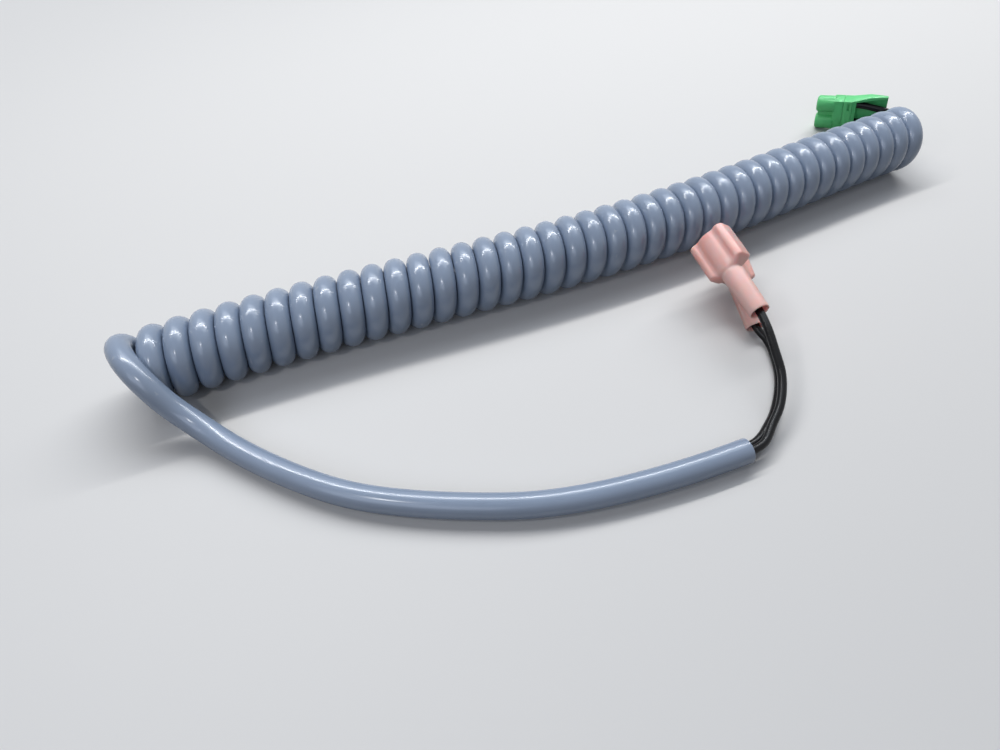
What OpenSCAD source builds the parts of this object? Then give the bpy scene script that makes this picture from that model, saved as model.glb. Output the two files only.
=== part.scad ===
// Curly two-core cord: a closed coil, a tail with two push-on terminals and a lead with a two-pole plug.
// The coil lies along X on the ground, Z is up, and the origin is under the middle of the whole object.

/* [Cord] */
// Diameter of the jacketed cord
cord_d = 4.8; // [4.4:0.1:5.2]
// Outer diameter of the coil
coil_od = 15.9; // [14:0.1:18]
// Length of the closed coil
coil_l = 193.36; // [120:1:210]
// Diameter of an insulated core
core_d = 1.7; // [1.5:0.05:1.9]
// Diameter of the bare strands of a core
strand_d = 1.1; // [0.8:0.05:1.3]

/* [Terminal] */
// Width of the tab that the terminal takes
tab_w = 6.35; // [6:0.05:6.8]
// Thickness of the tab that the terminal takes
tab_t = 0.81; // [0.5:0.01:1]
// Length of the terminal's block, along the tab
block_l = 9.4; // [8.8:0.1:12]
// Thickness of the terminal's block
block_t = 4.8; // [4.4:0.1:5.4]
// Length from the wire entry to the block
entry_l = 11.6; // [11:0.1:14]
// Wall of the terminal's block
block_wall = 0.66; // [0.4:0.02:0.8]
// Wall of the terminal's wire barrel
barrel_wall = 0.45; // [0.3:0.05:0.8]
// Thickness of the terminal's brass sheet
brass_t = 0.4; // [0.3:0.02:0.5]
// Wall of the crimped wire barrel
crimp_wall = 0.5; // [0.35:0.05:0.7]
// Wall of the grip sleeve round the crimp
sleeve_wall = 0.45; // [0.3:0.05:0.6]

/* [Plug] */
// Distance between the two poles
pole_pitch = 5.08; // [5:0.02:5.6]
// Diameter of the pin that a pole takes
pin_d = 1.2; // [0.9:0.05:1.4]
// Depth of a pole's pin hole
pin_depth = 5.2; // [4:0.1:5.6]
// Outer diameter of a socket contact
contact_d = 1.9; // [1.8:0.05:2.1]
// Diameter of the plug's round barrels
nose_d = 4.3; // [3.7:0.1:4.6]
// Length of the plug's round barrels
nose_l = 4.4; // [3.5:0.1:6]
// Thickness of the plug's body
plug_t = 3.6; // [3.6:0.1:5]
// Height of the plug's body, across both poles
plug_h = 8.6; // [8.4:0.1:10]
// Length of the plug's body in front of its rear cover
body_l = 2.5; // [2:0.1:4]
// Length of the rear cover
hood_l = 10.7; // [9:0.1:14]
// Wall of the rear cover at the body's sides
hood_wall = 0.5; // [0.4:0.05:0.55]
// Rear cover's share of the plastic above and below the contacts
cheek_share = 0.6; // [0.4:0.05:0.7]

/* [Hidden] */

fit = 0.05; // clearance between pieces that fit one in the other, on each side
eps = 0.02; // how far a cut passes the face that it opens

// Cord and coil
coil_x0 = -99.2; // left end of the coil
coil_x1 = coil_x0 + coil_l;
coil_z = coil_od / 2;
coil_ring_gap = 11;
coil_sides = 24;
cord_sides = 12;
core_sides = 8;
end_round = cord_d / 2; // the coil's ends are as round as its cord

// The coil lies in a slow S: its axis swings about bow_y by bow_swing, and leans a little
bow_y = 17.5;
bow_swing = 2.35;
bow_peak_x = -88;
bow_half_wave = 97;
bow_lean = 0.0035;

// The ends of the coil's axis on the ground. What follows is written from these: the tail and its terminals
// from tail_at, the lead and its plug from lead_at.
tail_at = [coil_x0, coil_y(coil_x0), 0];
lead_at = [coil_x1, coil_y(coil_x1), 0];

// Where the cord leaves the coil's left end, crosses its first turn and runs out on the ground
tail_route = [
    [-0.2, 4.456, 4.7], [-0.7, 5.556, 8], [-2, 5.456, 11.2], [-3.3, 3.456, 13.4], [-2.8, 0.456, 14.3],
    [-2, -2.844, 14.5], [-1.1, -5.744, 14.4], [0, -8.244, 13.4], [1.1, -9.544, 11.6], [2, -10.644, 9.2],
    [3.3, -11.944, 7], [5.5, -13.944, 4.9], [8.4, -17.644, 3.2], [12, -22.844, 2.5],
    [20.2, -33.044, 2.4], [28.7, -41.444, 2.4], [38.2, -47.744, 2.4], [47.7, -52.744, 2.4],
    [57.2, -56.944, 2.4], [67.2, -59.744, 2.4], [78.2, -61.644, 2.4], [88.7, -62.744, 2.4],
    [98.6, -63.244, 2.4]];
// The short jacketed lead behind the coil's right end
lead_route = [[0.244, 5.35, 3.2], [1.844, 5.35, 3.2], [3.644, 5.45, 2.6], [5.844, 5.75, 2.4]];
// The two cores of the tail, from the jacket's end to the terminals
tail_a_route = [[98.56, -63.994, 2.85], [99.06, -64.024, 2.85], [101.1, -63.344, 3],
    [104.8, -60.844, 3.6], [108.5, -58.044, 4.6], [112, -53.344, 6.2], [113.7, -48.244, 8],
    [114.9, -44.144, 9.3]];
tail_b_route = [[98.64, -62.494, 1.9], [99.14, -62.524, 1.9], [101.2, -61.844, 1.8],
    [105.2, -59.744, 1.5], [109.3, -56.844, 1], [114.7, -51.244, 0.9], [118.2, -45.244, 0.9],
    [119.4, -41.444, 1.2]];
// The two cores of the lead, from the jacket's end to the plug
lead_a_route = [[5.864, 6.15, 3.2], [6.354, 6.22, 3.15], [7.944, 6.15, 3.7], [8.944, 6.45, 5.1],
    [8.244, 7.25, 6.5], [6.044, 8.85, 7.5], [3.244, 11.65, 8.5]];
lead_b_route = [[5.814, 5.45, 1.6], [6.304, 5.51, 1.56], [8.444, 5.45, 1.5], [10.244, 6.85, 2],
    [9.044, 8.85, 3.1], [6.244, 9.85, 4.2], [3.644, 11.65, 4.7]];

// Where the rigid pieces lie: a place and three angles. X runs from the wire entry to the tab opening of a
// terminal, and from the pin openings to the rear cover's end in the plug.
terminal_a_pose = [[115.7, -40.344, 10.1], [-55, -9.3, 86.4]];
terminal_b_pose = [[118.9, -37.944, 2.3], [28.7, -18.3, 78]];
plug_pose = [[-7.356, 24.45, 4.7], [4.5, -9, -50.5]];

// Terminal, worked outwards from the strands
crimp_bore = strand_d + 2 * fit;
crimp_d = crimp_bore + 2 * crimp_wall;
sleeve_bore = max(crimp_d, core_d) + 2 * fit;
sleeve_d = sleeve_bore + 2 * sleeve_wall;
barrel_bore = sleeve_d + 2 * fit;
barrel_d = barrel_bore + 2 * barrel_wall;
barrel_grow = 0.7; // how much wider the wire barrel is at the block
barrel_end_d = barrel_d + barrel_grow;
funnel_l = 0.8;
funnel_grow = 0.4;
terminal_l = entry_l + block_l;
crimp_x = 4.6; // the crimp barrel starts here
crimp_l = 5.2;
strip_gap = 0.2; // from the end of a core's insulation to the crimp
strip_x = crimp_x - strip_gap;
sleeve_x = 1.6;
sleeve_l = 7;
curl_room = 0.05; // play of the tab under the rolled wings
curl_d = 2.3; // outer diameter of a rolled wing
wing_out = 0.66; // how far a rolled wing stands out past the tab
wing_y = tab_w / 2 + wing_out;
block_w = 2 * (wing_y + fit + block_wall);
half_t = block_t / 2;
hump_r = 4; // the broad hump along the block's middle
hump_a = 37; // half of the hump's arc, in degrees
roll_r = 1.25; // the narrow roll along each side of the block
roll_drop = 0.3; // how much lower the rolls are than the hump
valley_drop = 0.5; // how much lower the valleys between them are
roll_y = block_w / 2 - roll_r;
roll_z = half_t - roll_drop - roll_r;
edge_r = 0.6; // rounding of the block's flat side
floor_z = block_wall + fit - half_t; // underside of the receptacle
curl_y = wing_y - curl_d / 2;
curl_z = floor_z + curl_d / 2;
back_room = 0.9; // from the wire entry's end to the receptacle
mouth_room = 0.8; // from the receptacle to the block's mouth
receptacle_x = entry_l + back_room;
receptacle_l = block_l - back_room - mouth_room;
cavity_lead = 0.3; // how far the block's cavity starts behind the receptacle
joggle = 0.25; // half the length of the neck's step down to the receptacle's floor
neck_lap = 0.4; // how far the neck reaches over the crimp
neck_w = 2;
shoulder = 1.4;
shoulder_lap = 0.6; // how far the shoulder starts inside the barrel
block_x = entry_l - shoulder_lap;

// Plug
body_x = nose_l;
step_x = nose_l + body_l; // the rear cover starts here
tongue_l = 3.2; // how far the body reaches into the rear cover
cover_lap = 2.2; // how far the cover's near side reaches back
plug_l = step_x + hood_l;
nose_edge = 0.4; // slanted front edge of a barrel
nose_lap = 0.3; // how far a barrel runs on inside the body
lip = 0.5; // wall in front of a contact
pin_bore = pin_d + 2 * fit;
contact_sink = 0.2; // how far a contact ends inside the body
contact_l = step_x + tongue_l - lip - contact_sink;
contact_end = lip + contact_l;
relief_l = 0.35; // relief groove at the bottom of a contact's bore, past a pin's tip
relief_wall = 0.13;
pin_room = 0.8; // from a pin's tip to the strands
strand_x = lip + pin_depth + pin_room;
core_run_in = 1; // how far a core runs straight behind its contact
hood_cheek = cheek_share * (plug_h - pole_pitch - contact_d - 4 * fit) / 2;
window_w = 0.4;
window_h = 1.8;
window_gap = 1.2; // from the rear cover's front to its windows
window_x = step_x + window_gap;
far_rim = 0.3; // how far the cover's open side is cut past its far wall's inner face
hood_swell = 0.6; // how far the cover's top swells at its middle

function unit(v) = v / norm(v);
function rolled(p, a) = [p.x, p.y * cos(a) - p.z * sin(a), p.y * sin(a) + p.z * cos(a)];
function pitched(p, a) = [p.x * cos(a) + p.z * sin(a), p.y, p.z * cos(a) - p.x * sin(a)];
function headed(p, a) = [p.x * cos(a) - p.y * sin(a), p.x * sin(a) + p.y * cos(a), p.z];
// A point of a rigid piece, from the piece's own frame to the object's
function placed(pose, p) = pose[0] + headed(pitched(rolled(p, pose[1].x), pose[1].y), pose[1].z);

// The coil's axis seen from above
function coil_y(x) = bow_y + bow_swing * cos(180 * (x - bow_peak_x) / bow_half_wave) - bow_lean * x;

// Directions along a route, and a side vector carried along it without twist
function along(p) = [for (i = [0:len(p) - 1]) unit(p[min(i + 1, len(p) - 1)] - p[max(i - 1, 0)])];
function carried(t, n, i = 0) = i == len(t) ? []
    : let (m = unit(n - (n * t[i]) * t[i])) concat([m], carried(t, m, i + 1));

// A round tube along a route, with one radius per point
module swept(route, radii, sides) {
    t = along(route);
    n = carried(t, cross(t[0], [0.3, 0.2, 1]));
    points = [for (i = [0:len(route) - 1]) for (k = [0:sides - 1])
        route[i] + radii[i] * (cos(360 * k / sides) * n[i] + sin(360 * k / sides) * cross(t[i], n[i]))];
    last = (len(route) - 1) * sides;
    walls = [for (i = [0:len(route) - 2]) for (k = [0:sides - 1])
        let (a = i * sides + k, b = i * sides + (k + 1) % sides)
        each [[a, a + sides, b], [b, a + sides, b + sides]]];
    caps = [[for (k = [0:sides - 1]) k], [for (k = [sides - 1:-1:0]) last + k]];
    polyhedron(points, concat(walls, caps));
}

module cord(route, d, sides) {
    swept(route, [for (p = route) d / 2], sides);
}

// A round bar, and a tube, along X
module bar(x, l, d) {
    translate([x, 0, 0]) rotate([0, 90, 0]) cylinder(h = l, d = d, $fn = 32);
}

module tube(x, l, outer, inner) {
    difference() {
        bar(x, l, outer);
        bar(x - eps, l + 2 * eps, inner);
    }
}

module cone(x, l, d1, d2) {
    translate([x, 0, 0]) rotate([0, 90, 0]) cylinder(h = l, d1 = d1, d2 = d2, $fn = 32);
}

// An outline in Y and Z, drawn out along X
module drawn(x, l) {
    translate([x, 0, 0]) rotate([90, 0, 90]) linear_extrude(height = l) children();
}

module at_tail(pose = [[0, 0, 0], [0, 0, 0]]) {
    translate(tail_at + pose[0]) rotate(pose[1]) children();
}

module at_lead(pose = [[0, 0, 0], [0, 0, 0]]) {
    translate(lead_at + pose[0]) rotate(pose[1]) children();
}

module coil() {
    steps = ceil(coil_l / coil_ring_gap);
    ends = [0, 0.12, 0.5];
    xs = concat([for (e = ends) coil_x0 + e * end_round],
        [for (i = [1:steps - 1]) coil_x0 + i * coil_l / steps],
        [for (e = [ends[2], ends[1], ends[0]]) coil_x1 - e * end_round]);
    route = [for (x = xs) [x, coil_y(x), coil_z]];
    radii = [for (x = xs) coil_z - end_round
        + end_round * sqrt(1 - pow(1 - min((x - coil_x0) / end_round, (coil_x1 - x) / end_round, 1), 2))];
    color("slategray") swept(route, radii, coil_sides);
}

module tail_jacket() {
    color("slategray") at_tail() cord(tail_route, cord_d, cord_sides);
}

module lead_jacket() {
    color("slategray") at_lead() cord(lead_route, cord_d, cord_sides);
}

module tail_core(pose, route) {
    color("black") at_tail() cord(concat(route, [placed(pose, [0, 0, 0]), placed(pose, [strip_x, 0, 0])]),
        core_d, core_sides);
}

module lead_core(side, route) {
    z = side * pole_pitch / 2;
    color("black") at_lead() cord(concat(route, [placed(plug_pose, [contact_end + core_run_in, 0, z]),
        placed(plug_pose, [contact_end, 0, z])]), core_d, core_sides);
}

module tail_core_strands(pose) {
    color("peru") at_tail(pose) bar(strip_x, crimp_l, strand_d);
}

module lead_core_strands(side) {
    color("peru") at_lead(plug_pose) translate([0, 0, side * pole_pitch / 2])
        bar(strand_x, contact_end - strand_x, strand_d);
}

// The terminal block's outline: a broad hump between two narrow rolls on one side, flat on the other
module block_outline() {
    for (s = [-1, 1]) {
        translate([s * roll_y, roll_z]) circle(r = roll_r, $fn = 40);
        translate([s * (block_w / 2 - edge_r), edge_r - half_t]) circle(r = edge_r, $fn = 24);
    }
    polygon(concat([[-hump_r * sin(hump_a), 0]],
        [for (a = [-hump_a:hump_a / 8:hump_a + eps]) [hump_r * sin(a), half_t - hump_r + hump_r * cos(a)]],
        [[hump_r * sin(hump_a), 0]]));
    translate([-roll_y, -half_t]) square([2 * roll_y, 2 * half_t - valley_drop]);
    translate([edge_r - block_w / 2, -half_t]) square([block_w - 2 * edge_r, half_t]);
    translate([-block_w / 2, edge_r - half_t]) square([block_w, half_t - edge_r + roll_z]);
}

// The room for the receptacle in the block
module cavity_outline() {
    for (s = [-1, 1]) translate([s * curl_y, curl_z]) circle(d = curl_d + 2 * fit, $fn = 40);
    translate([-curl_y, floor_z - fit]) square([2 * curl_y, curl_d + 2 * fit]);
    translate([-wing_y - fit, floor_z - fit]) square([2 * (wing_y + fit), curl_z - floor_z + fit]);
}

module terminal_housing(pose) {
    corner = norm([block_w, block_t]);
    color("lightpink") at_tail(pose) difference() {
        union() {
            cone(0, entry_l, barrel_d, barrel_end_d);
            intersection() {
                drawn(block_x, terminal_l - block_x) block_outline();
                union() {
                    cone(block_x, shoulder, barrel_end_d, corner);
                    bar(block_x + shoulder, block_l, corner);
                }
            }
        }
        bar(-eps, receptacle_x, barrel_bore);
        cone(-eps, funnel_l, barrel_bore + funnel_grow, barrel_bore);
        drawn(receptacle_x - cavity_lead, terminal_l) cavity_outline();
    }
}

module terminal_receptacle(pose) {
    tab_top = floor_z + brass_t + tab_t + curl_room;
    neck_x = crimp_x + crimp_l - neck_lap;
    color("silver") at_tail(pose) {
        drawn(receptacle_x, receptacle_l) {
            translate([-curl_y, floor_z]) square([2 * curl_y, brass_t]);
            for (s = [-1, 1]) difference() {
                translate([s * curl_y, curl_z]) circle(d = curl_d, $fn = 40);
                translate([s * curl_y, curl_z]) circle(d = curl_d - 2 * brass_t, $fn = 40);
                translate([s * curl_y / 2 - curl_y / 2, floor_z + brass_t])
                    square([curl_y, tab_top - floor_z - brass_t]);
            }
        }
        rotate([90, 0, 0]) translate([0, 0, -neck_w / 2]) linear_extrude(height = neck_w) polygon([
            [neck_x, -crimp_d / 2], [receptacle_x - joggle, -crimp_d / 2],
            [receptacle_x + joggle, floor_z], [receptacle_x + 2 * joggle, floor_z],
            [receptacle_x + 2 * joggle, floor_z + brass_t], [receptacle_x + joggle, floor_z + brass_t],
            [receptacle_x - joggle, brass_t - crimp_d / 2], [neck_x, brass_t - crimp_d / 2]]);
        tube(crimp_x, crimp_l, crimp_d, crimp_bore);
    }
}

module terminal_grip_sleeve(pose) {
    color("darkgray") at_tail(pose) tube(sleeve_x, sleeve_l, sleeve_d, sleeve_bore);
}

// One round barrel of the plug, with a slanted front edge
module nose_barrel() {
    cone(0, nose_edge, nose_d - 2 * nose_edge, nose_d);
    bar(nose_edge, nose_l + nose_lap - nose_edge, nose_d);
}

module plug_housing() {
    inner_t = plug_t - 2 * (hood_wall + fit);
    inner_h = plug_h - 2 * (hood_cheek + fit);
    color("mediumseagreen") at_lead(plug_pose) difference() {
        union() {
            for (s = [-1, 1]) translate([0, 0, s * pole_pitch / 2]) nose_barrel();
            translate([body_x, -plug_t / 2, -plug_h / 2]) cube([body_l, plug_t, plug_h]);
            translate([step_x - eps, -inner_t / 2, -inner_h / 2]) cube([tongue_l + eps, inner_t, inner_h]);
        }
        for (s = [-1, 1]) translate([0, 0, s * pole_pitch / 2]) {
            bar(-eps, lip + 2 * eps, pin_bore);
            bar(lip, plug_l, contact_d + 2 * fit);
        }
    }
}

// The rear cover: a sleeve over the body's step, then top, bottom and far walls, open on the near side
module plug_hood() {
    half_h = plug_h / 2;
    inner_h = plug_h - 2 * hood_cheek;
    wall_t = plug_t / 2 - hood_wall;
    open_x = step_x + cover_lap;
    x0 = step_x + fit;
    far_y = wall_t - far_rim;
    color("mediumseagreen") at_lead(plug_pose) difference() {
        rotate([90, 0, 0]) translate([0, 0, -plug_t / 2]) linear_extrude(height = plug_t) polygon([
            [x0, -half_h], [open_x, -half_h], [open_x + 0.5 * (plug_l - open_x), -half_h - hood_swell],
            [plug_l, -half_h - hood_swell / 3], [plug_l, half_h + hood_swell / 3],
            [open_x + 0.5 * (plug_l - open_x), half_h + hood_swell], [open_x, half_h], [x0, half_h]]);
        translate([x0 - eps, -wall_t, -inner_h / 2]) cube([plug_l, 2 * wall_t, inner_h]);
        translate([open_x, -plug_t, -inner_h / 2]) cube([plug_l, plug_t, inner_h]);
        translate([0, 0, -plug_h]) linear_extrude(height = 2 * plug_h) polygon([
            [open_x, -plug_t], [plug_l + eps, -plug_t], [plug_l + eps, far_y], [plug_l, far_y],
            [open_x, -plug_t / 2]]);
        for (s = [-1, 1]) translate([window_x, -plug_t / 2 - eps, s * pole_pitch / 2 - window_h / 2])
            cube([window_w, hood_wall + 2 * eps, window_h]);
    }
}

module socket_contact(side) {
    color("gold") at_lead(plug_pose) translate([0, 0, side * pole_pitch / 2]) difference() {
        bar(lip, contact_l, contact_d);
        bar(lip - eps, pin_depth + 2 * eps, pin_bore);
        bar(lip + pin_depth, relief_l, contact_d - 2 * relief_wall);
        bar(strand_x - fit, plug_l, crimp_bore);
    }
}

coil();
tail_jacket();
tail_core(terminal_a_pose, tail_a_route);  // tail_core_a
tail_core(terminal_b_pose, tail_b_route);  // tail_core_b
tail_core_strands(terminal_a_pose);  // tail_core_a_strands
tail_core_strands(terminal_b_pose);  // tail_core_b_strands
terminal_housing(terminal_a_pose);  // terminal_a_housing
terminal_housing(terminal_b_pose);  // terminal_b_housing
terminal_receptacle(terminal_a_pose);  // terminal_a_receptacle
terminal_receptacle(terminal_b_pose);  // terminal_b_receptacle
terminal_grip_sleeve(terminal_a_pose);  // terminal_a_grip_sleeve
terminal_grip_sleeve(terminal_b_pose);  // terminal_b_grip_sleeve
lead_jacket();
lead_core(1, lead_a_route);  // lead_core_a
lead_core(-1, lead_b_route);  // lead_core_b
lead_core_strands(1);  // lead_core_a_strands
lead_core_strands(-1);  // lead_core_b_strands
plug_housing();
plug_hood();
socket_contact(1);  // socket_contact_a
socket_contact(-1);  // socket_contact_b
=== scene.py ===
"""Curly two-core cord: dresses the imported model, with a camera, plain floor and soft light."""

import math

import bmesh
import bpy
import numpy as np
from mathutils import Matrix, Vector


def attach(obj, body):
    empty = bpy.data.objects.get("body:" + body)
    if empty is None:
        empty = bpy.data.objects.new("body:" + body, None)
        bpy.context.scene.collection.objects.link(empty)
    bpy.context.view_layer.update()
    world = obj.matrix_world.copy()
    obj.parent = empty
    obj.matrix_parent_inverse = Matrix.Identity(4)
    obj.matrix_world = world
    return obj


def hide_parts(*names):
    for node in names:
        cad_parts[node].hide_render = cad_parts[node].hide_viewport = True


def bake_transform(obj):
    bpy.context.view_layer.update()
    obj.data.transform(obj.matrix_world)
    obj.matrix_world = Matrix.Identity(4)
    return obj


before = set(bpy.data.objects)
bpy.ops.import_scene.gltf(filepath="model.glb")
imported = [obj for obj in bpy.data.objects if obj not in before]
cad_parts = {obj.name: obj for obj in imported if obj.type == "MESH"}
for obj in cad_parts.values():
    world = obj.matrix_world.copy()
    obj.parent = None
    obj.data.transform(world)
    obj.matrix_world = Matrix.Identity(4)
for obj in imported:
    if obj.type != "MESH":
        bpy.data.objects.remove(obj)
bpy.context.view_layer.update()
MM = 0.001

# ---------------------------------------------------------------- camera
CAMERA_AT = (-70.0, -94.0, 109.75)  # mm
CAMERA_YAW = -22.0  # degrees from +Y, towards +X when negative
CAMERA_DOWN = 48.86
CAMERA_ROLL = -2.54
FOCAL_PX = 705.5
IMAGE_WIDTH_PX = 1000
SENSOR_MM = 36.0
CLIP_FROM, CLIP_TO = 0.005, 20  # metres


def make_camera():
    """The camera's axes come from its yaw, its downward pitch and its roll."""
    yaw, down, roll = (math.radians(a) for a in (CAMERA_YAW, CAMERA_DOWN, CAMERA_ROLL))
    right = Vector((math.cos(yaw), math.sin(yaw), 0))
    level = Vector((-math.sin(yaw), math.cos(yaw), 0))
    ahead = level * math.cos(down) + Vector((0, 0, -math.sin(down)))
    up = level * math.sin(down) + Vector((0, 0, math.cos(down)))
    x_axis = math.cos(roll) * right + math.sin(roll) * up
    y_axis = math.cos(roll) * up - math.sin(roll) * right
    camera = bpy.data.objects.new("camera", bpy.data.cameras.new("camera"))
    bpy.context.scene.collection.objects.link(camera)
    camera.data.sensor_width = SENSOR_MM
    camera.data.lens = SENSOR_MM * FOCAL_PX / IMAGE_WIDTH_PX
    camera.data.clip_start = CLIP_FROM
    camera.data.clip_end = CLIP_TO
    turn = Matrix((x_axis, y_axis, -ahead)).transposed().to_4x4()
    camera.matrix_world = Matrix.Translation(Vector(CAMERA_AT) * MM) @ turn
    bpy.context.scene.camera = camera


# ---------------------------------------------------------------- meshes
def make_mesh(name, points, faces, smooth=True):
    """A new object whose points are given in millimetres in the row frame."""
    mesh = bpy.data.meshes.new(name)
    mesh.from_pydata([tuple(p) for p in np.asarray(points, float) * MM], [], faces)
    mesh.validate()
    mesh.polygons.foreach_set("use_smooth", [smooth] * len(mesh.polygons))
    mesh.update()
    obj = bpy.data.objects.new(name, mesh)
    bpy.context.scene.collection.objects.link(obj)
    return obj


def ring_faces(count, sides, closed=False):
    """Quads between rings of points; closed joins the last ring to the first."""
    faces = []
    for i in range(count if closed else count - 1):
        a, b = i * sides, (i + 1) % count * sides
        for k in range(sides):
            m = (k + 1) % sides
            faces.append((a + k, a + m, b + m, b + k))
    return faces


def unit(v):
    return v / np.linalg.norm(v)


def carried_frames(path):
    """Along each point of a path: its direction, and two side vectors carried on without twist."""
    path = np.asarray(path, float)
    ahead = np.gradient(path, axis=0)
    ahead /= np.linalg.norm(ahead, axis=1)[:, None]
    side = np.cross(ahead[0], (0.3, 0.2, 1.0))
    sides = []
    for t in ahead:
        side = unit(side - side.dot(t) * t)
        sides.append(side)
    sides = np.array(sides)
    return ahead, sides, np.cross(ahead, sides)


def curve_through(points, step=1.0):
    """A smooth curve (a centripetal Catmull-Rom spline), with about one point per step in mm."""
    points = np.asarray(points, float)
    first, last = 2 * points[0] - points[1], 2 * points[-1] - points[-2]
    p = np.vstack([first, points, last])
    out = []
    for i in range(1, len(p) - 2):
        p0, p1, p2, p3 = p[i - 1:i + 3]
        t1 = math.sqrt(np.linalg.norm(p1 - p0))
        t2 = t1 + math.sqrt(np.linalg.norm(p2 - p1))
        t3 = t2 + math.sqrt(np.linalg.norm(p3 - p2))
        count = max(2, int(round(np.linalg.norm(p2 - p1) / step)))
        for t in np.linspace(t1, t2, count, endpoint=False):
            a1 = (t1 - t) / t1 * p0 + t / t1 * p1
            a2 = (t2 - t) / (t2 - t1) * p1 + (t - t1) / (t2 - t1) * p2
            a3 = (t3 - t) / (t3 - t2) * p2 + (t - t2) / (t3 - t2) * p3
            b1 = (t2 - t) / t2 * a1 + t / t2 * a2
            b2 = (t3 - t) / (t3 - t1) * a2 + (t - t1) / (t3 - t1) * a3
            out.append((t2 - t) / (t2 - t1) * b1 + (t - t1) / (t2 - t1) * b2)
    out.append(points[-1])
    return np.array(out)


def tube_points(path, rings, sides):
    """Points of a tube: rings lists (index on the path, step ahead in mm, radius)."""
    ahead, side, up = carried_frames(path)
    angles = np.linspace(0, 2 * math.pi, sides, endpoint=False)
    points = []
    for index, offset, radius in rings:
        centre = path[index] + ahead[index] * offset
        points.append(centre + radius * (np.cos(angles)[:, None] * side[index]
                                         + np.sin(angles)[:, None] * up[index]))
    return np.concatenate(points)


def capped_tube(name, path, rings, sides):
    """A closed tube along a path, with a flat cap on its first ring and on its last."""
    points = tube_points(path, rings, sides)
    last = (len(rings) - 1) * sides
    faces = ring_faces(len(rings), sides)
    faces.append(tuple(range(sides - 1, -1, -1)))
    faces.append(tuple(range(last, last + sides)))
    return make_mesh(name, points, faces)


def placed(pose, points):
    """Points of a rigid piece, from its own frame to the row's, in mm."""
    at, angles = pose
    roll, pitch, heading = (math.radians(a) for a in angles)
    turn = (Matrix.Rotation(heading, 3, "Z") @ Matrix.Rotation(pitch, 3, "Y")
            @ Matrix.Rotation(roll, 3, "X"))
    return np.asarray(points, float) @ np.array(turn).T + np.array(at)


# ---------------------------------------------------------------- materials
def srgb(*levels):
    """A colour written as 0 to 255 screen levels, in linear light."""
    return tuple(c / 12.92 if c <= 0.04045 else ((c + 0.055) / 1.055) ** 2.4
                 for c in (v / 255 for v in levels))


def new_material(name, color, roughness, **sockets):
    """A Principled material; constants sit on the shader's own sockets."""
    material = bpy.data.materials.new(name)
    material.use_nodes = True
    shader = material.node_tree.nodes["Principled BSDF"]
    shader.inputs["Base Color"].default_value = (*color, 1)
    shader.inputs["Roughness"].default_value = roughness
    for socket, value in sockets.items():
        shader.inputs[socket.replace("_", " ")].default_value = value
    return material


def add_noise(material, scale, detail, stretch=None):
    """A noise texture in the row frame; scale is in waves per metre."""
    nodes, links = material.node_tree.nodes, material.node_tree.links
    place = nodes.new("ShaderNodeTexCoord")
    noise = nodes.new("ShaderNodeTexNoise")
    noise.inputs["Scale"].default_value = scale
    noise.inputs["Detail"].default_value = detail
    source = place.outputs["Object"]
    if stretch:
        mapping = nodes.new("ShaderNodeMapping")
        mapping.inputs["Scale"].default_value = stretch
        links.new(source, mapping.inputs["Vector"])
        source = mapping.outputs["Vector"]
    links.new(source, noise.inputs["Vector"])
    return noise.outputs["Fac"]


def add_ramp(material, source, stops):
    """A colour ramp over source; each stop is a place from 0 to 1 and a colour."""
    nodes, links = material.node_tree.nodes, material.node_tree.links
    ramp = nodes.new("ShaderNodeValToRGB")
    elements = ramp.color_ramp.elements
    while len(elements) < len(stops):
        elements.new(0.5)
    for element, (place, color) in zip(elements, stops):
        element.position = place
        element.color = (*color, 1)
    links.new(source, ramp.inputs["Fac"])
    return ramp.outputs["Color"]


def set_input(material, socket, source):
    shader = material.node_tree.nodes["Principled BSDF"]
    material.node_tree.links.new(source, shader.inputs[socket])


def add_range(material, source, low, high):
    """source, from 0 to 1, as a value from low to high."""
    nodes, links = material.node_tree.nodes, material.node_tree.links
    remap = nodes.new("ShaderNodeMapRange")
    remap.inputs["To Min"].default_value = low
    remap.inputs["To Max"].default_value = high
    links.new(source, remap.inputs["Value"])
    return remap.outputs["Result"]


def add_mix(material, factor, source, color, share):
    """source, with color laid over it where factor is high."""
    nodes, links = material.node_tree.nodes, material.node_tree.links
    scale = nodes.new("ShaderNodeMath")
    scale.operation = "MULTIPLY"
    scale.inputs[1].default_value = share
    links.new(factor, scale.inputs[0])
    mix = nodes.new("ShaderNodeMix")
    mix.data_type = "RGBA"
    links.new(scale.outputs[0], mix.inputs["Factor"])
    links.new(source, mix.inputs[6])
    mix.inputs[7].default_value = (*color, 1)
    return mix.outputs[2]


def add_bump(material, source, distance, strength):
    """Bumps from source; distance is their height in metres."""
    nodes, links = material.node_tree.nodes, material.node_tree.links
    bump = nodes.new("ShaderNodeBump")
    bump.inputs["Strength"].default_value = strength
    bump.inputs["Distance"].default_value = distance
    links.new(source, bump.inputs["Height"])
    set_input(material, "Normal", bump.outputs["Normal"])


def vary_color(material, source, *stops):
    set_input(material, "Base Color", add_ramp(material, source, stops))


def vary_roughness(material, source, low, high):
    set_input(material, "Roughness", add_range(material, source, low, high))


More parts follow.
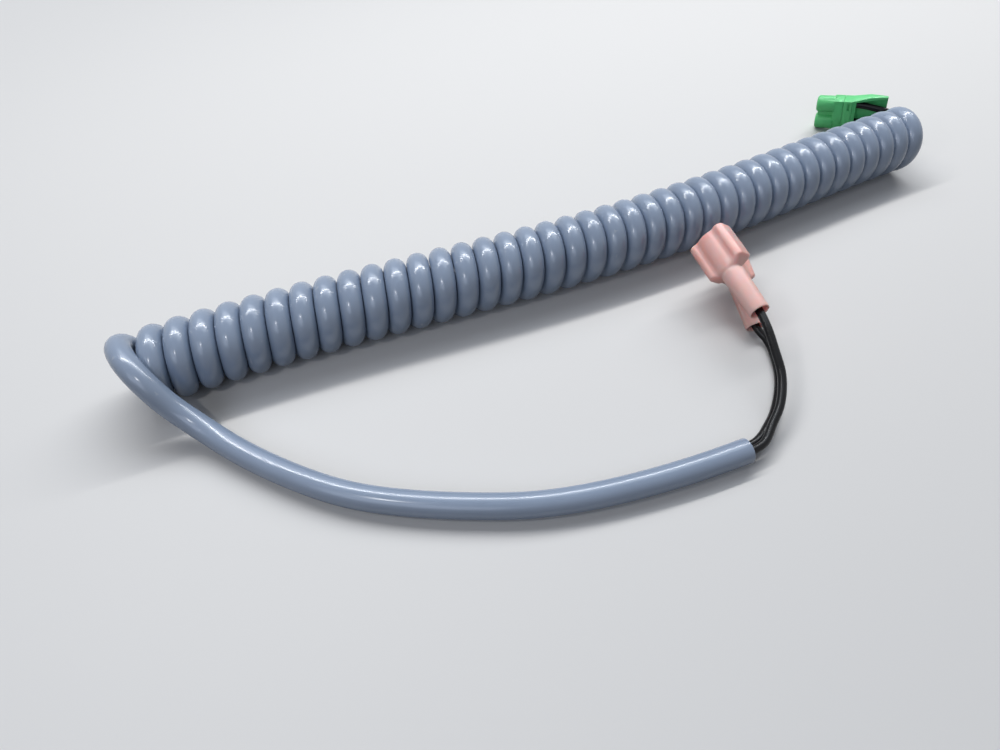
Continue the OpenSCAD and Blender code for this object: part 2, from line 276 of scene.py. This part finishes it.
def grey_jacket():
    """Smooth PVC: an even blue-grey with faint cloudiness and a few pale scuffs."""
    m = new_material("grey_jacket", srgb(131, 145, 165), 0.21, IOR=1.6)
    cloud = add_noise(m, 70, 3)
    base = add_ramp(m, cloud, [(0.3, srgb(127, 141, 161)), (0.7, srgb(135, 149, 169))])
    marks = add_noise(m, 420, 6, stretch=(1, 1, 0.35))
    scuff = add_ramp(m, marks, [(0.71, (0, 0, 0)), (0.76, (1, 1, 1))])
    set_input(m, "Base Color", add_mix(m, scuff, base, srgb(162, 170, 180), 0.5))
    vary_roughness(m, add_noise(m, 180, 3), 0.19, 0.23)
    return m


def cut_jacket():
    """The paler, rougher plastic where the jacket is cut, and its bore."""
    m = new_material("cut_jacket", srgb(150, 154, 168), 0.6)
    grain = add_noise(m, 2500, 4)
    vary_color(m, grain, (0.3, srgb(134, 138, 152)), (0.7, srgb(164, 167, 180)))
    add_bump(m, grain, distance=0.00005, strength=0.6)
    return m


def black_core():
    """Black core insulation: smooth and a little glossy."""
    m = new_material("black_core", srgb(13, 13, 15), 0.28, IOR=1.42, Specular_IOR_Level=0.3)
    soft = add_noise(m, 300, 3)
    vary_color(m, soft, (0.35, srgb(10, 10, 12)), (0.75, srgb(17, 17, 20)))
    vary_roughness(m, soft, 0.22, 0.34)
    add_bump(m, add_noise(m, 1200, 2), distance=0.00002, strength=0.2)
    return m


def pink_nylon():
    """Translucent tinted nylon: light spreads in it, and its thin parts are paler."""
    m = new_material("pink_nylon", srgb(238, 182, 172), 0.34, IOR=1.53, Subsurface_Weight=0.7,
                     Subsurface_Scale=0.0016, Subsurface_Radius=(1.0, 0.42, 0.32))
    soft = add_noise(m, 220, 3)
    vary_color(m, soft, (0.3, srgb(235, 176, 164)), (0.7, srgb(240, 188, 180)))
    vary_roughness(m, soft, 0.28, 0.4)
    add_bump(m, add_noise(m, 700, 3), distance=0.00003, strength=0.3)
    return m


def green_plastic():
    """The plug's moulded plastic, with a very fine grain."""
    m = new_material("green_plastic", srgb(88, 198, 118), 0.4, IOR=1.5)
    soft = add_noise(m, 300, 3)
    vary_color(m, soft, (0.3, srgb(83, 191, 112)), (0.7, srgb(93, 205, 124)))
    vary_roughness(m, soft, 0.34, 0.46)
    add_bump(m, add_noise(m, 3000, 3), distance=0.00002, strength=0.4)
    return m


def bright_metal(name, color, roughness):
    """Bare metal with a fine grain along it, a little darker in places."""
    m = new_material(name, color, roughness, Metallic=1.0)
    grain = add_noise(m, 1200, 4, stretch=(1, 1, 4))
    dark = tuple(c * 0.85 for c in color)
    vary_color(m, grain, (0.3, dark), (0.7, color))
    vary_roughness(m, grain, roughness * 0.8, roughness * 1.2)
    return m


def paint(obj, *materials):
    obj.data.materials.clear()
    for material in materials:
        obj.data.materials.append(material)


# ---------------------------------------------------------------- cord
# All lengths are in mm, in the row frame, as in the part's source.
CORD_R = 2.4
CORE_R = 0.85
CORD_SIDES, CORE_SIDES = 34, 16
JACKET_BORE_R = 1.72
BORE_POINTS = 7  # points of the path over which the jacket's cut ends are hollow
TURN_PITCH = 4.92
COIL_R = 5.55  # from the coil's axis to the cord's centre
COIL_Z = 7.95
FIRST_TOP_X = -96.22  # where turn 1 is at its top
TURN_START, TURN_END = 0.35, 39.25  # turns are whole at their tops
# A cut end, from inside the bore and round its edge: point of the path, step ahead, radius
CUT_END = [(BORE_POINTS, 0, JACKET_BORE_R), (2, 0, JACKET_BORE_R), (0, 0.05, JACKET_BORE_R),
           (0, 0, JACKET_BORE_R + 0.05), (0, 0, CORD_R - 0.12), (0, 0.04, CORD_R - 0.04),
           (0, 0.14, CORD_R)]
CUT_RINGS = 4  # the first of them, which show the cut's colour
POINTS_PER_TURN = 38
PATH_STEP = 1.2  # between points where the cord isn't coiled
CORE_STEP = 0.6
TAIL_EASING = 14  # passes
COIL_SKIP = 3  # points of the coil that the tail's end stands for
JOIN_REACH, JOIN_EASING = 18, 12  # points on each side of a join with the coil, and passes
# The coil's bowed axis: its middle in Y, a wave about that, and a slight lean
BOW_Y, BOW_SWING, BOW_PEAK_X, BOW_HALF_WAVE, BOW_LEAN = 17.5, 2.35, -88.0, 97.0, 0.0035

# From the coil's left end over its first turn and along the floor, and from its right end
TAIL_ROUTE = [
    (-99.4, 24.5, 4.7), (-99.9, 25.6, 8), (-101.2, 25.5, 11.2), (-102.5, 23.5, 13.4),
    (-102, 20.5, 14.3), (-101.2, 17.2, 14.5), (-100.3, 14.3, 14.4), (-99.2, 11.8, 13.4),
    (-98.1, 10.5, 11.6), (-97.2, 9.4, 9.2), (-95.9, 8.1, 7), (-93.7, 6.1, 4.9),
    (-90.8, 2.4, 3.2), (-87.2, -2.8, 2.5), (-79, -13, 2.4), (-70.5, -21.4, 2.4),
    (-61, -27.7, 2.4), (-51.5, -32.7, 2.4), (-42, -36.9, 2.4), (-32, -39.7, 2.4),
    (-21, -41.6, 2.4), (-10.5, -42.7, 2.4), (-1.4, -43.16, 2.4)]
LEAD_ROUTE = [(93.6, 24.8, 4.1), (95.4, 24.8, 2.9), (97.5, 24.9, 2.45), (100, 25.1, 2.4)]
# The cores, from inside the jacket's cut ends to where they enter a terminal or the plug
TAIL_A_ROUTE = [(-2.4, -43.86, 2.85), (1.9, -43.3, 3), (5.6, -40.8, 3.6), (9.3, -38, 4.6),
                (12.8, -33.3, 6.2), (14.5, -28.2, 8), (15.7, -24.1, 9.3)]
TAIL_B_ROUTE = [(-2.4, -42.36, 1.9), (2, -41.8, 1.8), (6, -39.7, 1.5), (10.1, -36.8, 1),
                (15.5, -31.2, 0.9), (19, -25.2, 0.9), (20.2, -21.4, 1.2)]
LEAD_A_ROUTE = [(100, 25.5, 3.2), (102.1, 25.5, 3.7), (103.1, 25.8, 5.1), (102.4, 26.6, 6.5),
                (100.2, 28.2, 7.5), (97.4, 31, 8.5)]
LEAD_B_ROUTE = [(100, 24.8, 1.6), (102.6, 24.8, 1.5), (104.4, 26.2, 2), (103.2, 28.2, 3.1),
                (100.4, 29.2, 4.2), (97.8, 31, 4.7)]

# Poses of the rigid pieces: place, then roll, pitch and heading in degrees
TERMINAL_A = ((16.5, -20.3, 10.1), (-55, -9.3, 86.4))
TERMINAL_B = ((19.7, -17.9, 2.3), (28.7, -18.3, 78))
PLUG = ((86.8, 43.8, 4.7), (4.5, -9, -50.5))
POLE_PITCH = 5.08
CRIMP_X = 4.4  # where a core's insulation ends in a terminal
CONTACT_END = 9.9  # where a core's insulation ends in the plug


def helix(turn):
    """Centre of the coiled cord at a number of turns, along the bowed axis."""
    turn = np.asarray(turn, float)
    x = FIRST_TOP_X + (turn - 1) * TURN_PITCH
    wave = math.pi * (x - BOW_PEAK_X) / BOW_HALF_WAVE
    y = BOW_Y + BOW_SWING * np.cos(wave) - BOW_LEAN * x
    slope = -BOW_SWING * np.sin(wave) * math.pi / BOW_HALF_WAVE - BOW_LEAN
    back, up = np.sin(2 * math.pi * turn), np.cos(2 * math.pi * turn)
    return np.stack([x - slope * COIL_R * back, y + COIL_R * back, COIL_Z + COIL_R * up], -1)


def even_steps(path, step):
    """The same path with points at even steps along it."""
    along = np.concatenate([[0], np.cumsum(np.linalg.norm(np.diff(path, axis=0), axis=1))])
    places = np.linspace(0, along[-1], int(round(along[-1] / step)) + 1)
    return np.stack([np.interp(places, along, path[:, i]) for i in range(3)], -1)


def eased(path, passes):
    """The path with its small bends evened out; its ends stay."""
    path = path.copy()
    for _ in range(passes):
        path[1:-1] = 0.25 * path[:-2] + 0.5 * path[1:-1] + 0.25 * path[2:]
    return path


def eased_window(path, first, last, passes):
    """The path with its bends evened out between two points, and not at all at those points."""
    share = np.sin(np.linspace(0, math.pi, last - first))[:, None] ** 2
    path = path.copy()
    path[first:last] += share * (eased(path[first:last], passes) - path[first:last])
    return path


def jacket_path():
    """The whole jacket, from the tail's cut end over the coil to the lead's cut end, and how far
    each of its points has gone from the tail's end of the coil, 0, to the lead's, 1."""
    turns = np.linspace(TURN_START, TURN_END, int((TURN_END - TURN_START) * POINTS_PER_TURN))
    coil = helix(turns)
    tail = eased(even_steps(curve_through(TAIL_ROUTE[::-1]), PATH_STEP), TAIL_EASING)
    coil = coil[COIL_SKIP:]
    tail = np.concatenate([tail, curve_through([tail[-1], coil[0]])[1:-1]])
    lead = even_steps(curve_through([coil[-1]] + LEAD_ROUTE), PATH_STEP)[1:]
    share = np.concatenate([np.zeros(len(tail)), np.linspace(0, 1, len(coil)), np.ones(len(lead))])
    path = np.concatenate([tail, coil, lead])
    for join in (len(tail), len(path) - len(lead)):
        reach = min(JOIN_REACH, len(path) - join)
        path = eased_window(path, join - reach, join + reach, JOIN_EASING)
    return path, share


def blend_by_share(obj, share, start, end):
    """Lays obj's points on the line from start to end by their share and bakes its transform, then
    puts the points back as they were.
    """
    mesh = obj.data
    rest = np.zeros(len(mesh.vertices) * 3, np.float32)
    mesh.vertices.foreach_get("co", rest)
    place = 0.5 - np.sin(np.arcsin(1 - 2 * np.clip(share, 0, 1)) / 3)
    line = np.array(start) + place[:, None] * (np.array(end) - np.array(start))
    mesh.vertices.foreach_set("co", line.astype(np.float32).ravel())
    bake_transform(obj)
    mesh.vertices.foreach_set("co", rest)
    mesh.update()


def make_jacket():
    """The jacket as one tube, hollow at its cut ends, which have slightly worn edges."""
    path, share = jacket_path()
    last = len(path) - 1
    rings = CUT_END + [(i, 0, CORD_R) for i in range(2, last - 1)]
    rings += [(last - index, -ahead, radius) for index, ahead, radius in reversed(CUT_END)]
    jacket = capped_tube("jacket", path, rings, CORD_SIDES)
    ring_share = np.repeat([share[index] for index, _, _ in rings], CORD_SIDES)
    paint(jacket, grey_jacket(), cut_jacket())
    between = len(rings) - 1
    for polygon in jacket.data.polygons:
        ring = min(polygon.vertices) // CORD_SIDES
        cap = polygon.index >= between * CORD_SIDES
        if cap or ring < CUT_RINGS or ring >= between - CUT_RINGS:
            polygon.material_index = 1
    blend_by_share(jacket, ring_share, tuple(path[0] * MM), tuple(path[-1] * MM))
    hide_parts("coil", "tail_jacket", "lead_jacket")
    return jacket, path


def make_core(name, route, inner, node, body, material):
    """One core along its route and on to the points inside a terminal or the plug."""
    path = curve_through(list(route) + [tuple(p) for p in inner], CORE_STEP)
    rings = [(i, 0, CORE_R) for i in range(len(path))]
    core = capped_tube(name, path, rings, CORE_SIDES)
    paint(core, material)
    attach(core, body)
    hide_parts(node)
    return core, path


def make_cords():
    """The jacket with its lead's cores and the plug, and the tail's two cores."""
    black = black_core()
    lead_cores = []
    for name, route, side in (("lead_wire_a", LEAD_A_ROUTE, 1), ("lead_wire_b", LEAD_B_ROUTE, -1)):
        z = side * POLE_PITCH / 2
        inner = placed(PLUG, [(CONTACT_END + 1, 0, z), (CONTACT_END, 0, z)])
        node = name.replace("wire", "core")
        core, _ = make_core(name, route, inner, node, "plug_end", black)
        lead_cores.append(core)
    jacket, path = make_jacket()
    on_lead = lead_cores + make_plug() + ["socket_contact_a", "socket_contact_b",
                                          "lead_core_a_strands", "lead_core_b_strands"]
    for name, route, pose in (("tail_wire_a", TAIL_A_ROUTE, TERMINAL_A),
                              ("tail_wire_b", TAIL_B_ROUTE, TERMINAL_B)):
        inner = placed(pose, [(0, 0, 0), (CRIMP_X, 0, 0)])
        core, path = make_core(name, route, inner, name.replace("wire", "core"), "tail_end", black)
        path = path[::-1]


# ---------------------------------------------------------------- terminals
# In mm; X runs from the wire barrel's rim to the block's mouth, and Z is up out of the block.
BARREL_R, BARREL_END_R = 2.1, 2.45  # wire barrel, at its rim and at the block
BARREL_BORE_R = 1.65
ENTRY_L, TERMINAL_L = 11.6, 21.0  # to the block, and to the mouth
BLOCK_W, BLOCK_T, BLOCK_WALL = 9.09, 4.8, 0.66
HUMP_R, HUMP_W, ROLL_R, ROLL_DROP, VALLEY_DROP, EDGE_R = 4.0, 2.41, 1.25, 0.3, 0.5, 0.6
CURL_R, WING_Y = 1.15, 3.835  # the receptacle's rolled wings: their radius and their reach
WING_ROOM = 0.05  # around the wings
LEAST_WALL = 0.3  # of the block around its cavity
CAVITY_X = 12.2  # where the block's cavity starts
GROOVE, GROOVE_X, GROOVE_W = 0.22, 11.1, 0.45  # the soft groove between the barrel and the block
SHOULDER_FROM, SHOULDER_L = 10.9, 1.5  # where the barrel turns into the block
SECTION_POINTS = 112
SECTION_REACH, REACH_STEPS, ANGLE_STEPS = 7.0, 1401, 1441  # how finely an outline is searched

# Rings of the housing, in order round its wall, as a place along X and a radius. At the mouth
# the place is counted back from it, and what stands for the radius is how far the ring lies
# past the block's outline or the cavity's.
BARREL_RIM = [(0.12, BARREL_BORE_R + 0.16), (0.0, BARREL_BORE_R + 0.26),
              (0.03, BARREL_R - 0.08), (0.12, BARREL_R - 0.01)]
BARREL_PLACES = (0.4, 2.5, 5.0, 7.5, 9.6)
SHOULDER_PLACES = np.linspace(10.0, 12.5, 16)
BLOCK_PLACES = (13.4, 15.5, 18.0, 20.3)
MOUTH_OUTSIDE = [(0.3, -0.03), (0.12, -0.1), (0.03, -0.2), (0, -0.32)]
MOUTH_INSIDE = [(0.02, 0.16), (0.12, 0.04), (0.4, 0)]
BORE_END = [(CAVITY_X, BARREL_BORE_R + 0.05), (CAVITY_X - 0.1, BARREL_BORE_R),
            (1.2, BARREL_BORE_R), (0.5, BARREL_BORE_R + 0.05)]


def outline_radii(angles, inside):
    """An outline's reach from its middle at each angle; inside says which (y, z) lie in it."""
    reach = np.linspace(0, SECTION_REACH, REACH_STEPS)
    y, z = np.cos(angles)[:, None] * reach, np.sin(angles)[:, None] * reach
    return np.where(inside(y, z), reach, 0).max(axis=1)


def in_block(y, z):
    """The block's outline: a broad hump between two narrow rolls, over a flat underside."""
    half_w, half_t = BLOCK_W / 2, BLOCK_T / 2
    y = np.abs(y)
    roll_z = half_t - ROLL_DROP - ROLL_R
    roll = np.hypot(y - (half_w - ROLL_R), z - roll_z) < ROLL_R
    edge = np.hypot(y - (half_w - EDGE_R), z + half_t - EDGE_R) < EDGE_R
    hump = (np.hypot(y, z - half_t + HUMP_R) < HUMP_R) & (y < HUMP_W) & (z > 0)
    middle = (y < half_w - ROLL_R) & (z > -half_t) & (z < half_t - VALLEY_DROP)
    lower = (y < half_w - EDGE_R) & (z > -half_t) & (z < 0)
    sides = (y < half_w) & (z > EDGE_R - half_t) & (z < roll_z)
    return roll | edge | hump | middle | lower | sides


def in_cavity(y, z):
    """The room in the block for the receptacle, with its two rolled wings."""
    floor = BLOCK_WALL - BLOCK_T / 2
    y = np.abs(y)
    curl_z = z - floor - CURL_R - WING_ROOM
    curl = np.hypot(y - (WING_Y - CURL_R), curl_z) < CURL_R + WING_ROOM
    middle = (y < WING_Y - CURL_R) & (z > floor) & (z < floor + 2 * CURL_R + 2 * WING_ROOM)
    lower = (y < WING_Y + WING_ROOM) & (z > floor) & (z < floor + CURL_R)
    return curl | middle | lower


def even_angles(inside, count):
    """Angles whose points are about evenly spaced along an outline."""
    dense = np.linspace(-math.pi / 2, 1.5 * math.pi, ANGLE_STEPS)
    radii = outline_radii(dense, inside)
    points = np.stack([np.cos(dense), np.sin(dense)], -1) * radii[:, None]
    along = np.concatenate([[0], np.cumsum(np.linalg.norm(np.diff(points, axis=0), axis=1))])
    return np.interp(np.linspace(0, along[-1], count, endpoint=False), along, dense)


def soft_radii(radii):
    """Radii with their sharp corners and valleys rounded a little."""
    return 0.25 * np.roll(radii, 1) + 0.5 * radii + 0.25 * np.roll(radii, -1)


def smooth_step(t):
    """0 up to t = 0, 1 from t = 1, and smooth between."""
    t = min(max(t, 0), 1)
    return t * t * (3 - 2 * t)


def make_housing(name, pose, material):
    """The nylon housing: round barrel, shoulder, humped block, open mouth and hollow inside."""
    angles = even_angles(in_block, SECTION_POINTS)
    block = soft_radii(outline_radii(angles, in_block))
    cavity = soft_radii(np.minimum(outline_radii(angles, in_cavity), block - LEAST_WALL))

    def barrel_r(x):
        return BARREL_R + (BARREL_END_R - BARREL_R) * x / ENTRY_L

    rings = BARREL_RIM + [(x, barrel_r(x)) for x in BARREL_PLACES]
    for x in SHOULDER_PLACES:
        mix = smooth_step((x - SHOULDER_FROM) / SHOULDER_L)
        groove = GROOVE * math.exp(-((x - GROOVE_X) / GROOVE_W) ** 2)
        rings.append((x, (barrel_r(min(x, ENTRY_L)) - groove) * (1 - mix) + block * mix))
    rings += [(x, block) for x in BLOCK_PLACES]
    rings += [(TERMINAL_L - back, block + past) for back, past in MOUTH_OUTSIDE]
    rings += [(TERMINAL_L - back, cavity + past) for back, past in MOUTH_INSIDE]
    rings += [(CAVITY_X + 0.3, cavity), (CAVITY_X, cavity * 0.9)] + BORE_END
    points = []
    for x, reach in rings:
        radii = np.ones(SECTION_POINTS) * reach
        points.append(np.stack([np.full(SECTION_POINTS, x), np.cos(angles) * radii,
                                np.sin(angles) * radii], -1))
    housing = make_mesh(name + "_shell", placed(pose, np.concatenate(points)),
                        ring_faces(len(rings), SECTION_POINTS, closed=True))
    paint(housing, material)
    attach(housing, "tail_end")
    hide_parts(name)


# ---------------------------------------------------------------- plug
HOUSING_EDGE, HOOD_EDGE = 0.12, 0.1  # mm; the width of the rounded edges
SAME_POINT = 1e-7  # metres
FLAT, SHARP, CREASED = 2, 35, 40  # degrees between faces: merged, rounded, and shaded as an edge
# The web between the barrels, in mm in the plug's frame: its section as distance across and
# half height, and its rings as place along X and share of the section.
WEB_SECTION = [(-0.85, 0.55), (-0.6, 0.36), (0, 0.3), (0.6, 0.36), (0.85, 0.55)]
WEB_RINGS = [(0.45, 0.8), (0.6, 0.95), (1.0, 1.0), (4.6, 1.0)]


def make_softened(node, body, width, material):
    """A copy of a CAD piece with its sharp edges rounded."""
    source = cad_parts[node]
    mesh = source.data.copy()
    work = bmesh.new()
    work.from_mesh(mesh)
    bmesh.ops.remove_doubles(work, verts=work.verts, dist=SAME_POINT)
    bmesh.ops.dissolve_limit(work, angle_limit=math.radians(FLAT), verts=work.verts,
                             edges=work.edges)
    sharp = [e for e in work.edges
             if len(e.link_faces) == 2 and e.calc_face_angle(0) > math.radians(SHARP)]
    bmesh.ops.bevel(work, geom=sharp, offset=width * MM, segments=2, profile=0.5, affect="EDGES",
                    clamp_overlap=True)
    work.to_mesh(mesh)
    work.free()
    obj = bpy.data.objects.new(node + "_soft", mesh)
    bpy.context.scene.collection.objects.link(obj)
    mesh.polygons.foreach_set("use_smooth", [True] * len(mesh.polygons))
    mesh.set_sharp_from_angle(angle=math.radians(CREASED))
    paint(obj, material)
    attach(obj, body)
    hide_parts(node)
    return obj


def make_web(material):
    """The web that closes the valley between the two socket barrels."""
    outline = [(y, -h) for y, h in WEB_SECTION] + [(y, h) for y, h in reversed(WEB_SECTION)]
    points = [(x, y * share, z * share) for x, share in WEB_RINGS for y, z in outline]
    sides = len(outline)
    faces = ring_faces(len(WEB_RINGS), sides)
    faces += [tuple(range(sides - 1, -1, -1)), tuple(range(len(points) - sides, len(points)))]
    web = make_mesh("plug_web", placed(PLUG, points), faces, smooth=False)
    paint(web, material)
    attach(web, "plug_end")
    return web


def make_plug():
    green = green_plastic()
    return [make_softened("plug_housing", "plug_end", HOUSING_EDGE, green),
            make_softened("plug_hood", "plug_end", HOOD_EDGE, green),
            make_web(green)]


# ---------------------------------------------------------------- carried-over pieces
def dress_nodes():
    """The two housings, and metal for the CAD pieces that stay as they are."""
    pink = pink_nylon()
    make_housing("terminal_a_housing", TERMINAL_A, pink)
    make_housing("terminal_b_housing", TERMINAL_B, pink)
    tinned = bright_metal("tinned_brass", srgb(206, 202, 190), 0.32)
    sleeve = bright_metal("sleeve_metal", srgb(196, 180, 146), 0.35)
    copper = bright_metal("copper_strands", srgb(204, 142, 108), 0.35)
    looks = {
        "terminal_a_receptacle": tinned, "terminal_b_receptacle": tinned,
        "terminal_a_grip_sleeve": sleeve, "terminal_b_grip_sleeve": sleeve,
        "socket_contact_a": tinned, "socket_contact_b": tinned,
        "tail_core_a_strands": copper, "tail_core_b_strands": copper,
        "lead_core_a_strands": copper, "lead_core_b_strands": copper}
    for name, material in looks.items():
        paint(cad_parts[name], material)


# ---------------------------------------------------------------- stage
PALE = (228, 230, 233)  # the background's screen levels
FLOOR_SEEN, FLOOR_BOUNCE = (214, 212, 209), (150, 146, 140)  # to the eye, and to bounced light
FLOOR_HALF = 4000  # mm
FADE_FROM, FADE_TO = 0.2, 0.6  # metres from the origin; between them the floor fades to PALE
FADE_SHAPE = (1, 1.4, 1)  # so the fade comes sooner along Y
SOFT_LIGHT, SOFT_STRENGTH = (242, 246, 255), 0.13  # all round
LIGHTS = [  # name, place and target in mm, width and height in mm, watts, screen levels
    ("window", (160, 330, 620), (0, 0, 0), (900, 420), 2.8, (232, 242, 255)),
    ("tube", (150, 190, 340), (150, 17, 8), (800, 16), 1.6, (255, 255, 255)),
    ("flash", (-122, -50, 124), (0, 0, 0), (12, 8), 0.02, (255, 255, 255)),
    ("front", (-420, -330, 420), (0, 0, 0), (500, 300), 0.85, (222, 233, 255))]


def add_math(tree, operation, first, second):
    """Maths on two sockets, kept between 0 and 1."""
    node = tree.nodes.new("ShaderNodeMath")
    node.operation = operation
    node.use_clamp = True
    tree.links.new(first, node.inputs[0])
    tree.links.new(second, node.inputs[1])
    return node.outputs[0]


def seen_rays(tree):
    """1 for rays to the eye, also by a reflection or through something clear, and 0 for others."""
    rays = tree.nodes.new("ShaderNodeLightPath").outputs
    seen = add_math(tree, "ADD", rays["Is Camera Ray"], rays["Is Glossy Ray"])
    return add_math(tree, "ADD", seen, rays["Is Transmission Ray"])


def pale_floor():
    """Pale to the eye, fading into the background; less light falls back on the underside."""
    m = new_material("pale_floor", srgb(*FLOOR_SEEN), 0.8, Specular_IOR_Level=0.0)
    tree = m.node_tree
    seen = seen_rays(tree)
    place = tree.nodes.new("ShaderNodeTexCoord")
    squeezed = tree.nodes.new("ShaderNodeVectorMath")
    squeezed.operation = "MULTIPLY"
    squeezed.inputs[1].default_value = FADE_SHAPE
    tree.links.new(place.outputs["Object"], squeezed.inputs[0])
    away = tree.nodes.new("ShaderNodeVectorMath")
    away.operation = "LENGTH"
    tree.links.new(squeezed.outputs["Vector"], away.inputs[0])
    fade = tree.nodes.new("ShaderNodeMapRange")
    fade.interpolation_type = "SMOOTHSTEP"
    fade.inputs["From Min"].default_value = FADE_FROM
    fade.inputs["From Max"].default_value = FADE_TO
    tree.links.new(away.outputs["Value"], fade.inputs["Value"])
    far = add_math(tree, "MULTIPLY", fade.outputs["Result"], seen)
    near = add_ramp(m, seen, [(0, srgb(*FLOOR_BOUNCE)), (1, srgb(*FLOOR_SEEN))])
    set_input(m, "Base Color", add_mix(m, far, near, (0, 0, 0), 1))
    tree.nodes["Principled BSDF"].inputs["Emission Color"].default_value = (*srgb(*PALE), 1)
    set_input(m, "Emission Strength", far)
    return m


def make_stage():
    corners = [(x * FLOOR_HALF, y * FLOOR_HALF, 0) for x, y in ((-1, -1), (1, -1), (1, 1), (-1, 1))]
    floor = make_mesh("floor", corners, [(0, 1, 2, 3)], smooth=False)
    paint(floor, pale_floor())


def add_area(name, at, target, size, watts, levels):
    light = bpy.data.lights.new(name, "AREA")
    light.shape = "RECTANGLE"
    light.size, light.size_y = (s * MM for s in size)
    light.energy = watts
    light.color = srgb(*levels)
    obj = bpy.data.objects.new(name, light)
    bpy.context.scene.collection.objects.link(obj)
    at, target = Vector(at) * MM, Vector(target) * MM
    obj.location = at
    obj.rotation_euler = (target - at).to_track_quat("-Z", "Y").to_euler()


def make_lights():
    """Soft light all round, a broad cool window behind and above, a thin tube below it, a small
    flash by the camera and a cool light from the front."""
    world = bpy.data.worlds.new("world")
    bpy.context.scene.world = world
    world.use_nodes = True
    tree = world.node_tree
    soft = tree.nodes["Background"]
    soft.inputs["Color"].default_value = (*srgb(*SOFT_LIGHT), 1)
    soft.inputs["Strength"].default_value = SOFT_STRENGTH
    backdrop = tree.nodes.new("ShaderNodeBackground")
    backdrop.inputs["Color"].default_value = (*srgb(*PALE), 1)
    choice = tree.nodes.new("ShaderNodeMixShader")
    tree.links.new(seen_rays(tree), choice.inputs["Fac"])
    tree.links.new(soft.outputs[0], choice.inputs[1])
    tree.links.new(backdrop.outputs[0], choice.inputs[2])
    tree.links.new(choice.outputs[0], tree.nodes["World Output"].inputs["Surface"])
    for light in LIGHTS:
        add_area(*light)


make_camera()
make_cords()
dress_nodes()
make_stage()
make_lights()
bpy.context.scene.view_settings.view_transform = "Standard"
